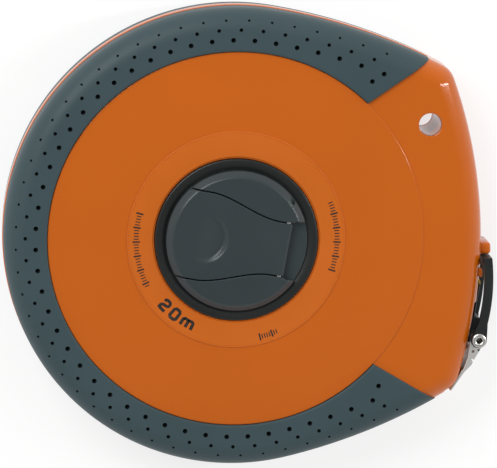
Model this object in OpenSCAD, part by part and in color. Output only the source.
// Closed-case long tape measure with a fold-away winding crank.
// The case lies on its back: +Z runs along the reel axis towards the crank, +X points to the
// mouth, and the origin is on the reel axis in the plane that the back grip rests on.

/* [Case] */
// Radius of the round part of the case
case_r = 66; // [64:0.5:72]
// How far the nose reaches beyond the round part
nose_reach = 5; // [4:0.5:8]
// Radius of the nose, seen from the front
nose_r = 138; // [120:1:180]
// Radius of the long shoulders between the round part and the nose
shoulder_r = 166; // [150:2:240]
// Angle at which the round part turns into the shoulders
shoulder_a = 78.7; // [76:0.1:80]
// Radius of the two corners of the nose
corner_r = 7; // [6.5:0.1:9]
// Thickness of the case over the grips
case_t = 25; // [24.6:0.2:30]
// Radius that the rim is rounded by
rim_r = 6; // [5.5:0.5:7]
// Wall of the two shells
wall = 2; // [1.6:0.1:2.4]
// How far the nose faces lie below the grip faces
nose_drop = 1; // [0.6:0.1:1.4]
// How far the round side discs lie below the grip faces
disc_drop = 0.7; // [0.4:0.1:1]
// Radius of the round side discs
disc_r = 53.8; // [50:0.1:55]
// Thickness of the soft grip
grip_t = 1.6; // [1.2:0.1:1.8]
// Half height of the hard rib between the two grips
rib_h = 1.8; // [1:0.1:2.5]
// Slope of the cut at each end of the grips
grip_cut = 32.5; // [28:0.5:38]
// Radius of the wrist strap hole
strap_r = 3.25; // [2:0.05:3.5]

/* [Reel] */
// Width of the tape
tape_w = 13; // [10:0.5:13]
// Thickness of the tape
tape_t = 0.42; // [0.3:0.02:0.42]
// Length of the tape, in metres
tape_len = 20; // [10:1:20]
// Radius of the drum that the tape is wound on
drum_r = 24; // [23.8:0.1:24.5]
// Radius of the reel flanges
flange_r = 58.4; // [57.6:0.1:58.6]
// Thickness of the reel flanges
flange_t = 1.5; // [1.2:0.1:1.7]
// Free space beside the tape, on each side
tape_side = 0.4; // [0.35:0.05:0.6]
// Radius of the drum boss that shows round the crank disc
boss_r = 23.3; // [22.8:0.1:23.5]
// Radius of the spindle post
post_r = 4.5; // [4:0.1:5]
// Radial running clearance of the bearings
run_gap = 0.08; // [0.04:0.01:0.1]

/* [Crank] */
// Radius of the crank disc
puck_r = 20.1; // [19.8:0.1:20.6]
// Height of the crank disc over the grip faces
puck_rise = 3.4; // [3.3:0.1:4]
// Direction that the folded lever points to
crank_park = 168; // [0:0.5:360]
// Thickness of the lever
lever_t = 2.6; // [2.4:0.1:2.8]
// Half width of the lever at its knob end
lever_wide = 12.6; // [11.8:0.1:13]
// Half width of the lever at its hinge
lever_narrow = 7.6; // [6.5:0.1:8]
// Distance of the hinge pin from the reel axis
hinge_x = 13.5; // [13:0.1:14]
// Radius of the hinge pin
hinge_pin_r = 0.7; // [0.5:0.05:0.8]
// Distance of the folded knob from the reel axis
knob_x = 9.6; // [9.2:0.1:10]
// Radius of the knob under the lever
knob_r = 6; // [5:0.1:6]
// Gap between the folded lever and its seat
lever_gap = 0.35; // [0.3:0.05:0.5]

/* [Mouth and tape end] */
// Radius of the mouth roller
roller_r = 1.8; // [1.5:0.1:1.9]
// Direction of the tape outside the mouth
tape_fall = -101; // [-102:0.5:-99]
// Distance that the end pin stands out from the tape's line
pin_out = 2.1; // [1.9:0.1:2.4]
// Distance from the mouth roller to the end pin
tail_l = 15.6; // [15:0.1:16.5]
// Radius of the end pin that the loop and the claw turn on
end_pin_r = 1.3; // [1:0.05:1.3]
// Sheet thickness of the claw
claw_t = 0.9; // [0.7:0.1:1]
// Thickness of the finger loop, seen from the front
loop_w = 2.5; // [2:0.1:2.6]
// Radius that the finger loop is bowed to
loop_bow_r = 55; // [50:1:70]

/* [Hidden] */
$fn = 64;
eps = 0.01;
move_gap = 0.3;
fit = 0.03;

// Heights. The two shells meet at the middle of the case.
nose_x = case_r + nose_reach;
z_mid = case_t/2;
z_nose = case_t - nose_drop;
z_disc = case_t - disc_drop;
z_seat = case_t - grip_t;
z_inner = z_disc - wall - 0.3;
z_drum = z_mid + tape_w/2 + tape_side;
z_flange = z_drum + flange_t;
z_boss = case_t;
z_puck = case_t + puck_rise;
z_lever = z_puck - lever_t;
z_floor = z_lever - move_gap;
z_pin = z_puck - lever_t/2;
z_plug = z_boss - 1.7;
z_post = z_mid - 0.5;
cavity_inset = grip_t + wall;

// Radius of the wound tape, from its length and thickness
roll_r = sqrt(tape_len*1000*tape_t/PI + drum_r*drum_r);

orange = [0.80, 0.38, 0.10];
grip_grey = [0.25, 0.32, 0.35];
label_orange = [0.84, 0.43, 0.11];
puck_grey = [0.21, 0.25, 0.27];
black = [0.09, 0.09, 0.09];
steel = [0.75, 0.75, 0.73];
tape_yellow = [0.93, 0.85, 0.35];

// ---------------------------------------------------------------- outline of the case

function on_circle(c, r, a) = [c.x + r*cos(a), c.y + r*sin(a)];
function arc(c, r, a0, a1, n) = [for (i = [0:n-1]) on_circle(c, r, a0 + (a1 - a0)*i/n)];
function flip(p) = [p.x, -p.y];

// Where two circles cross, on the +Y side
function crossing(c1, r1, c2, r2) =
    let (d = norm(c2 - c1), a = (d*d + r1*r1 - r2*r2)/(2*d), h = sqrt(r1*r1 - a*a),
         u = (c2 - c1)/d, m = c1 + a*u, v = h*[-u.y, u.x])
    v.y > 0 ? m + v : m - v;

shoulder_c = -(shoulder_r - case_r)*[cos(shoulder_a), sin(shoulder_a)];
nose_c = [nose_x - nose_r, 0];
corner_c = crossing(shoulder_c, shoulder_r - corner_r, nose_c, nose_r - corner_r);
corner_a0 = atan2(corner_c.y, corner_c.x - nose_c.x);
corner_a1 = atan2(corner_c.y - shoulder_c.y, corner_c.x - shoulder_c.x);

// The closed outline, drawn in by inset: nose, corner, shoulder, round part, and their mirror
function upper_half(inset) = concat(
    arc(nose_c, nose_r - inset, 0, corner_a0, 6),
    arc(corner_c, corner_r - inset, corner_a0, corner_a1, 6),
    arc(shoulder_c, shoulder_r - inset, corner_a1, shoulder_a, 5),
    arc([0, 0], case_r - inset, shoulder_a, 180, 27));
function case_outline(inset) =
    let (half = upper_half(inset), n = len(half))
    concat(half, [[inset - case_r, 0]], [for (i = [n-1:-1:1]) flip(half[i])]);

// A solid through the outline at several levels, each level [z, inset], lowest first
module loft(levels) {
    n = len(case_outline(0));
    m = len(levels);
    points = [for (l = levels) each [for (p = case_outline(l[1])) [p.x, p.y, l[0]]]];
    sides = [for (k = [0:m-2], i = [0:n-1])
        [k*n + i, (k+1)*n + i, (k+1)*n + (i+1)%n, k*n + (i+1)%n]];
    polyhedron(points, concat([[for (i = [0:n-1]) i]], sides,
        [[for (i = [n-1:-1:0]) (m-1)*n + i]]));
}

// Front half of a case form, with its face at z_face and everything drawn in by inset
rim_steps = 4;
module front_form(z_face, inset, z_from) {
    r = rim_r - inset;
    loft(concat([[z_from, inset]],
        [for (i = [0:rim_steps]) let (a = 90*i/rim_steps)
            [z_face - r + r*sin(a), rim_r - r*cos(a)]]));
}

module to_rear() translate([0, 0, case_t]) mirror([0, 0, 1]) children();

// The nose, seen from the front, up to the slanted cuts that end the grips
cut_start = on_circle([0, 0], disc_r + 1, 44.2);
cut_end = on_circle(cut_start, 45, grip_cut);
module nose_area() polygon([cut_start, flip(cut_start), flip(cut_end), cut_end]);

// ---------------------------------------------------------------- places

screw_boss_r = 2.9;
screw_ring = case_r - cavity_inset - 0.6;
screw_at = [
    on_circle([0, 0], screw_ring, 110), [-screw_ring, 0], on_circle([0, 0], screw_ring, 250),
    corner_c, flip(corner_c)
];
strap_at = [nose_x - 14.7, 30.9];
strap_wall = 1.4;

// The tape leaves the roll, turns over the mouth roller and falls along the nose.
roller_at = [nose_x - 3, -16.2];
fall = [cos(tape_fall), sin(tape_fall)];
fall_out = [-fall.y, fall.x];
tape_line = roller_at + (roller_r + move_gap + tape_t/2)*fall_out;
pin_at = tape_line + tail_l*fall + pin_out*fall_out;
lead_a = atan2(roller_at.y, roller_at.x)
    + acos((roll_r - roller_r - move_gap)/norm(roller_at));
lead = [sin(lead_a), -cos(lead_a)];
span_free = 10.26;
span_l = sqrt(norm(roller_at)^2 - (roll_r - roller_r - move_gap)^2) - span_free;
lead_out = [cos(lead_a), sin(lead_a)];

// Half widths of the stack on the end pin
clamp_hw = tape_w/2 + 0.4;
ear_in = clamp_hw + move_gap;
ear_out = ear_in + claw_t;
arm_in = ear_out + move_gap;
arm_out = arm_in + 2;
rivet_out = arm_out + move_gap;

module at(places) for (p = places) translate([p.x, p.y, 0]) children();
module slab(hw) translate([0, 0, z_mid - hw]) linear_extrude(2*hw) children();
module strap(p, q, w) {
    // A straight band of width w between two points
    u = (q - p)/norm(q - p);
    v = w/2*[-u.y, u.x];
    polygon([p - v, q - v, q + v, p + v]);
}

// ---------------------------------------------------------------- case

module shell_body() {
    difference() {
        union() {
            front_form(z_seat, grip_t, z_mid);
            intersection() {
                front_form(z_nose, 0, z_mid);
                translate([0, 0, z_mid - 1]) linear_extrude(case_t) nose_area();
            }
            translate([0, 0, z_mid]) linear_extrude(rib_h) polygon(case_outline(0));
            translate([0, 0, z_mid + 1]) cylinder(r = disc_r, h = z_disc - z_mid - 1, $fn = 128);
        }
        front_form(z_inner, cavity_inset, z_mid - 1);
    }
    // Bosses for the case screws and the strap hole
    intersection() {
        translate([0, 0, z_mid]) union() {
            at(screw_at) cylinder(r = screw_boss_r, h = z_inner - z_mid + 0.5);
            at([strap_at]) cylinder(r = strap_r + strap_wall, h = z_inner - z_mid + 0.5);
        }
        front_form(z_inner + 0.6, grip_t + 0.3, z_mid);
    }
}

// The way out for the tape, the roller's pocket and the recess that the tape end rests in
module mouth_cut() {
    slab(tape_w/2 + 0.6) union() {
        translate(roller_at) circle(r = roller_r + 0.5);
        strap(tape_line_start - 9*lead, tape_line_start + 0.5*lead, 1.8);
        polygon([tape_line_start + [-0.6, 0], tape_line_start + [4, 0],
            tape_line + 6*fall + [4, 0], tape_line + 6*fall - [2.2, 0], roller_at]);
    }
    slab(ear_out + 0.5) polygon(concat([for (p = [[4, 0], [-0.7, 0]]) tape_line + 5*fall + p],
        [for (p = [[-4.3, 6.8], [-4.3, -3.4], [-4.6, -6], [-5.9, -9.4], [-9.9, -14.6],
            [-13, -22], [4, -22]]) pin_at + p]));
    at([pin_at]) cylinder(r = 2.9, h = case_t);
}
tape_line_start = roller_at + (roller_r + move_gap + tape_t/2)*lead_out;

// The catch above the finger loop and the lip over the mouth
lug_top = -4.7;
lug_end = -8.1;
module lug() polygon([[nose_x - 1.5, lug_top], [nose_x + 2.2, lug_top], [nose_x + 2.8, lug_top - 0.8],
    [nose_x + 2.8, lug_end + 0.8], [nose_x + 2.2, lug_end], [nose_x - 1.5, lug_end]]);
module lip() polygon([for (p = [[-1.8, 0], [-0.3, 0], [0, -0.9], [-0.1, -2.4], [-0.7, -2.7],
    [-1.6, -1.4]]) [nose_x + p[0], lug_end - 3.6 + p[1]]]);

module mouth_trim() {
    intersection() {
        translate([0, 0, z_mid]) union() {
            linear_extrude(6) lug();
            linear_extrude(ear_out - 0.1) lip();
        }
        translate([0, 0, z_mid]) cube([200, 200, 60], center = true);
    }
}

module front_shell() color(orange) difference() {
    union() {
        difference() {
            shell_body();
            mouth_cut();
            at(screw_at) translate([0, 0, z_mid - 1]) cylinder(r = 1.2, h = 7);
        }
        mouth_trim();
    }
    at([strap_at]) cylinder(r = strap_r, h = 60);
    cylinder(r = boss_r + run_gap, h = 60, $fn = 96);
    at([roller_at]) translate([0, 0, z_mid]) cylinder(r = 0.7 + fit, h = ear_out + 1);
}

module rear_shell() color(orange) difference() {
    union() {
        difference() {
            to_rear() shell_body();
            mouth_cut();
            at(screw_at) {
                translate([0, 0, -1]) cylinder(r = 1.3, h = z_mid + 2);
                translate([0, 0, -1]) cylinder(r = 2.1, h = 5.4);
            }
        }
        to_rear() mouth_trim();
        translate([0, 0, 2]) cylinder(r = post_r, h = z_post - 2);
        translate([0, 0, 2]) cylinder(r = post_r + 2.5, h = case_t - z_flange - move_gap - 2);
    }
    at([strap_at]) translate([0, 0, -1]) cylinder(r = strap_r, h = 60);
    at([roller_at]) translate([0, 0, z_mid - ear_out - 1]) cylinder(r = 0.7 + fit, h = 30);
    translate([0, 0, z_post - 8]) cylinder(r = 1.5 + fit, h = 9);
}

module grip_body() {
    difference() {
        front_form(case_t, 0, z_mid + rib_h);
        front_form(z_seat, grip_t, z_mid);
        translate([0, 0, z_mid]) cylinder(r = disc_r + 0.05, h = 60, $fn = 128);
        translate([0, 0, z_mid]) linear_extrude(60) nose_area();
    }
}

module front_grip() color(grip_grey) grip_body();

module rear_grip() color(grip_grey) difference() {
    to_rear() grip_body();
    at(screw_at) translate([0, 0, -1]) cylinder(r = 2.6, h = 6);
}

module label_ring() color(label_orange) translate([0, 0, z_disc]) difference() {
    cylinder(r = 31.2, h = 0.3, $fn = 96);
    translate([0, 0, -1]) cylinder(r = boss_r + 0.6, h = 3, $fn = 96);
}

module case_screws() color(steel) at(screw_at) {
    translate([0, 0, 4.2]) cylinder(r = 1.15, h = z_mid + 1);
    difference() {
        translate([0, 0, 2.9]) cylinder(r = 1.95, h = 1.4);
        for (a = [0, 90]) rotate([0, 0, a]) translate([-1.2, -0.25, 2]) cube([2.4, 0.5, 1.6]);
    }
}

module spindle_screw() color(steel) {
    translate([0, 0, z_post - 7]) cylinder(r = 1.5, h = 8);
    difference() {
        translate([0, 0, z_post + 0.8]) cylinder(r = 3, h = 1.2);
        for (a = [0, 90]) rotate([0, 0, a]) translate([-1.8, -0.3, z_post + 1.3])
            cube([3.6, 0.6, 2]);
    }
}

module spindle_washer() color(steel) difference() {
    translate([0, 0, z_post]) cylinder(r = 6.3, h = 0.8);
    translate([0, 0, z_post - 1]) cylinder(r = 1.5 + fit, h = 3);
}

module roller_pin() color(steel) at([roller_at]) translate([0, 0, z_mid - ear_out - 0.9])
    cylinder(r = 0.7, h = 2*ear_out + 1.8);

// The stretch of tape from the roll to the mouth
module tape_span() color(tape_yellow) slab(tape_w/2) polygon(concat(
    [tape_line_start - span_l*lead + tape_t/2*lead_out],
    span_bend(roller_r + move_gap + tape_t), back(span_bend(roller_r + move_gap)),
    [tape_line_start - span_l*lead - tape_t/2*lead_out]));
function span_bend(r) = [for (i = [0:6])
    on_circle(roller_at, r, lead_a + (tape_fall + 90 - lead_a)*i/6)];
function back(list) = [for (i = [len(list)-1:-1:0]) list[i]];

module mouth_roller() color(black) at([roller_at])
    translate([0, 0, z_mid - tape_w/2 - 0.3]) difference() {
        cylinder(r = roller_r, h = tape_w + 0.6);
        translate([0, 0, -1]) cylinder(r = 0.7 + run_gap, h = tape_w + 3);
    }

// ---------------------------------------------------------------- reel

drum_in = 18.8;
plug_r = drum_in - 0.3;
pocket_r = knob_r + 1.2;
disc_screw_at = [[13.2, pocket_r + 3.2], [13.2, -pocket_r - 3.2], [-9.3, 0]];
z_web = case_t - z_drum + 2.4;
anchor_at = [drum_r - 1, 0];

module reel_drum() color(black) difference() {
    union() {
        difference() {
            union() {
                translate([0, 0, case_t - z_drum])
                    cylinder(r = drum_r, h = 2*(z_drum - z_mid), $fn = 96);
                translate([0, 0, case_t - z_flange])
                    cylinder(r = boss_r, h = z_boss - case_t + z_flange, $fn = 96);
            }
            translate([0, 0, z_web + 2.5]) cylinder(r = drum_in, h = 60, $fn = 96);
            translate([0, 0, -1]) cylinder(r = drum_in, h = z_web + 1, $fn = 96);
        }
        translate([0, 0, case_t - z_flange])
            cylinder(r = post_r + 3, h = z_post - move_gap - case_t + z_flange);
        rotate([0, 0, crank_park]) at(disc_screw_at) translate([0, 0, z_web + 1])
            cylinder(r = 2.4, h = z_plug - z_web - 1);
    }
    translate([0, 0, -1]) cylinder(r = post_r + run_gap, h = z_post + 2);
    rotate([0, 0, crank_park]) at(disc_screw_at) translate([0, 0, z_web + 4])
        cylinder(r = 1, h = 30);
    at([anchor_at]) translate([0, 0, case_t - z_drum]) cylinder(r = 1.1, h = tape_w + 0.8);
}

module flange() color(black) difference() {
    translate([0, 0, z_drum]) cylinder(r = flange_r, h = flange_t, $fn = 128);
    translate([0, 0, z_drum - 1]) cylinder(r = boss_r + fit, h = 5, $fn = 96);
    for (a = [0:60:300]) rotate([0, 0, a]) translate([42, 0, z_drum - 1]) cylinder(r = 6, h = 5);
}
module front_flange() flange();
module rear_flange() to_rear() flange();

module tape_roll() color(tape_yellow) slab(tape_w/2) difference() {
    circle(r = roll_r, $fn = 128);
    circle(r = drum_r + 0.02, $fn = 96);
}

module anchor_pin() color(steel) at([anchor_at])
    translate([0, 0, case_t - z_drum + 0.1]) cylinder(r = 1, h = tape_w + 0.6);

// ---------------------------------------------------------------- crank, drawn along +X

// The crank disc and the lever share this bevelled outer form
bevel = 1.7;
module puck_form(z0) rotate_extrude($fn = 96) polygon([[0, z0], [puck_r, z0],
    [puck_r, z_puck - bevel], [puck_r - bevel, z_puck], [0, z_puck]]);

// Half width of the lever at x, with extra space round it
neck_x0 = -11;
neck_x1 = 10;
function ease(t) = t*t*(3 - 2*t);
function lever_hw(x, extra) = lever_narrow + extra
    + (lever_wide - lever_narrow)*ease(max(0, min(1, (x - neck_x0)/(neck_x1 - neck_x0))));
module lever_plan(x0, x1, extra = 0) {
    xs = concat([x0], [for (i = [0:10]) neck_x0 + (neck_x1 - neck_x0)*i/10], [x1]);
    polygon(concat([for (x = xs) [x, -lever_hw(x, extra)]],
        [for (i = [len(xs)-1:-1:0]) [xs[i], lever_hw(xs[i], extra)]]));
}
module along_hinge(r, y0, y1) translate([-hinge_x, y1, z_pin]) rotate([90, 0, 0])
    cylinder(r = r, h = y1 - y0, $fn = 48);

// Half width of the slot that the lever lies in when it is swung right over
slot_hw = lever_hw(puck_r - 2*hinge_x, lever_gap);
pocket_at = [knob_x + 0.7, 0];
z_knob = z_lever - 9.5;
knob_tip_r = knob_r - 0.8;
stud_r = 2.2;
z_shoulder = z_knob + 1.7;

module crank_disc() color(puck_grey) rotate([0, 0, crank_park]) difference() {
    union() {
        puck_form(z_boss);
        translate([0, 0, z_plug]) cylinder(r = plug_r, h = 3, $fn = 96);
        at([pocket_at]) translate([0, 0, z_knob - 1.7]) cylinder(r = pocket_r + 1, h = 10);
    }
    translate([0, 0, z_floor]) linear_extrude(9) {
        lever_plan(-hinge_x - 1.7, 30, lever_gap);
        translate([-30, -slot_hw]) square([30 - hinge_x - 1.6, 2*slot_hw]);
    }
    at([pocket_at]) translate([0, 0, z_knob - 0.6]) cylinder(r = pocket_r, h = 30);
    along_hinge(hinge_pin_r + fit, -30, 11);
    at(disc_screw_at) {
        translate([0, 0, z_plug - 3]) cylinder(r = 1.2, h = 9);
        translate([0, 0, z_floor - 1]) cylinder(r = 1.9, h = 9);
    }
}

module disc_screws() color(steel) rotate([0, 0, crank_park]) at(disc_screw_at) {
    translate([0, 0, z_floor - 9]) cylinder(r = 0.95, h = 8.2);
    difference() {
        translate([0, 0, z_floor - 0.95]) cylinder(r = 1.8, h = 0.75);
        for (a = [0, 90]) rotate([0, 0, a]) translate([-1.1, -0.2, z_floor - 0.6])
            cube([2.2, 0.4, 1]);
    }
}

module hinge_pin() color(steel) rotate([0, 0, crank_park])
    along_hinge(hinge_pin_r, -12.5, 10.95);

dish_depth = 1;
dish_r = 9.1;
dish_sphere = (dish_r*dish_r + dish_depth*dish_depth)/(2*dish_depth);
module crank_lever() color(puck_grey) rotate([0, 0, crank_park]) difference() {
    union() {
        intersection() {
            puck_form(z_lever);
            translate([0, 0, z_lever - 1]) linear_extrude(9) lever_plan(-hinge_x + 0.4, 30);
        }
        along_hinge(lever_t/2 - 0.06, -lever_narrow, lever_narrow);
        at([[knob_x, 0]]) translate([0, 0, z_shoulder - move_gap])
            cylinder(r = stud_r, h = z_lever - z_shoulder + 0.8);
    }
    along_hinge(hinge_pin_r + run_gap, -30, 30);
    translate([11.2, 0, z_puck - dish_depth + dish_sphere]) sphere(r = dish_sphere, $fn = 160);
    at([[knob_x, 0]]) translate([0, 0, z_knob]) cylinder(r = 1, h = 7);
}

module knob_screw() color(steel) rotate([0, 0, crank_park]) at([[knob_x, 0]]) {
    translate([0, 0, z_knob + 0.9]) cylinder(r = 0.95, h = 5.6);
    difference() {
        translate([0, 0, z_knob + 0.4]) cylinder(r = 2.9, h = z_shoulder - move_gap - z_knob - 0.4);
        for (a = [0, 90]) rotate([0, 0, a]) translate([-1.5, -0.25, z_knob]) cube([3, 0.5, 0.8]);
    }
}

module crank_knob() color(puck_grey) rotate([0, 0, crank_park]) at([[knob_x, 0]])
    difference() {
        translate([0, 0, z_knob])
            cylinder(r1 = knob_tip_r, r2 = knob_r, h = z_lever - z_knob - move_gap);
        translate([0, 0, z_knob]) cylinder(r = stud_r + run_gap, h = 30);
        translate([0, 0, z_knob - 1]) cylinder(r = 3.3, h = z_shoulder - z_knob + 1);
    }

// ---------------------------------------------------------------- tape end

clamp_l = 6;
tongue_from = 0.35;
rivet_z = [z_mid - 4, z_mid + 4];
rivet_mid = tape_line + (tail_l - 3.6)*fall;
module across_tape(r, from, to) for (z = rivet_z)
    translate([rivet_mid.x, rivet_mid.y, z]) rotate([0, 0, tape_fall + 90])
        translate([from, 0, 0]) rotate([0, 90, 0]) cylinder(r = r, h = to - from);

module tape_tongue() color(black) difference() {
    slab(tape_w/2) strap(tape_line + tongue_from*fall, tape_line + (tail_l - 1.7)*fall, tape_t);
    across_tape(0.8, -3, 3);
}

module clamp_plan() {
    translate(pin_at) circle(r = 2.1);
    polygon([for (p = [[-clamp_l, 1.5], [-clamp_l, -1.3], [1.2, -1.6], [1.9, pin_out],
        [0.3, pin_out + 1.8], [-2, 2.3], [-5.4, 2.3]])
        tape_line + (tail_l + p[0])*fall + p[1]*fall_out]);
}
module end_clamp() color(black) difference() {
    slab(clamp_hw) clamp_plan();
    slab(tape_w/2 + 0.05) strap(tape_line + (tail_l - 9)*fall, tape_line + (tail_l - 1.65)*fall,
        tape_t + 0.04);
    at([pin_at]) cylinder(r = end_pin_r + fit, h = 60);
    across_tape(0.8, -9, 9);
    across_tape(1.3, 1.9, 9);
}

module clamp_rivets() color(steel) {
    across_tape(0.77, -1.2, 2);
    across_tape(1.25, 1.9, 2.35);
}

// A tubular rivet along Z, with a flared head at each end
module end_pin() color(steel) at([pin_at]) difference() {
    union() {
        translate([0, 0, z_mid - rivet_out]) cylinder(r = end_pin_r, h = 2*rivet_out);
        for (z = [z_mid - rivet_out - 0.5, z_mid + rivet_out]) translate([0, 0, z])
            cylinder(r = end_pin_r + 0.7, h = 0.5);
    }
    cylinder(r = end_pin_r - 0.5, h = 60);
}

loop_top = lug_end - 0.4;
loop_c = [nose_x + 2.8 - loop_bow_r, -13.5];
module loop_arc(y0, y1) intersection() {
    difference() {
        translate(loop_c) circle(r = loop_bow_r, $fn = 360);
        translate(loop_c) circle(r = loop_bow_r - loop_w, $fn = 360);
    }
    translate([60, y0]) square([20, y1 - y0]);
}
module finger_loop() color(black) difference() {
    union() {
        for (z = [z_mid - arm_out, z_mid + arm_in]) translate([0, 0, z])
            linear_extrude(arm_out - arm_in) {
                loop_arc(-28, loop_top);
                translate(pin_at) circle(r = 2.3);
                polygon([for (p = [[-1.9, 1.1], [-0.1, 4.4], [2.6, 4.4], [2.2, -0.6]]) pin_at + p]);
            }
        slab(arm_out) loop_arc(loop_top - 2.6, loop_top);
    }
    at([pin_at]) cylinder(r = end_pin_r + run_gap, h = 60);
}

claw_path = [[0.9, -2.7], [-1.1, -5.9], [-2, -7.6], [-4.2, -9.7], [-8.1, -15]];
function beside(path, d) = [for (i = [0:len(path)-1])
    let (a = path[max(i-1, 0)], b = path[min(i+1, len(path)-1)], u = (b - a)/norm(b - a))
    path[i] + d*[u.y, -u.x]];
module claw() color(steel) difference() {
    union() {
        slab(ear_out) translate(pin_at)
            polygon(concat(claw_path, back(beside(claw_path, claw_t))));
        for (z = [z_mid - ear_out, z_mid + ear_in]) translate([0, 0, z])
            linear_extrude(claw_t) translate(pin_at) {
                circle(r = 2.2);
                polygon([[-2.1, 0.2], [-3.2, -5.5], [-4.6, -9.2], claw_path[3], claw_path[2], claw_path[1],
                    claw_path[0], [2, -0.6]]);
            }
    }
    at([pin_at]) cylinder(r = end_pin_r + run_gap, h = 60);
}

front_shell();
rear_shell();
front_grip();
rear_grip();
label_ring();
case_screws();
spindle_screw();
spindle_washer();
roller_pin();
tape_span();
mouth_roller();
reel_drum();
front_flange();
rear_flange();
tape_roll();
anchor_pin();
crank_disc();
disc_screws();
hinge_pin();
crank_lever();
knob_screw();
crank_knob();
tape_tongue();
end_clamp();
clamp_rivets();
end_pin();
finger_loop();
claw();
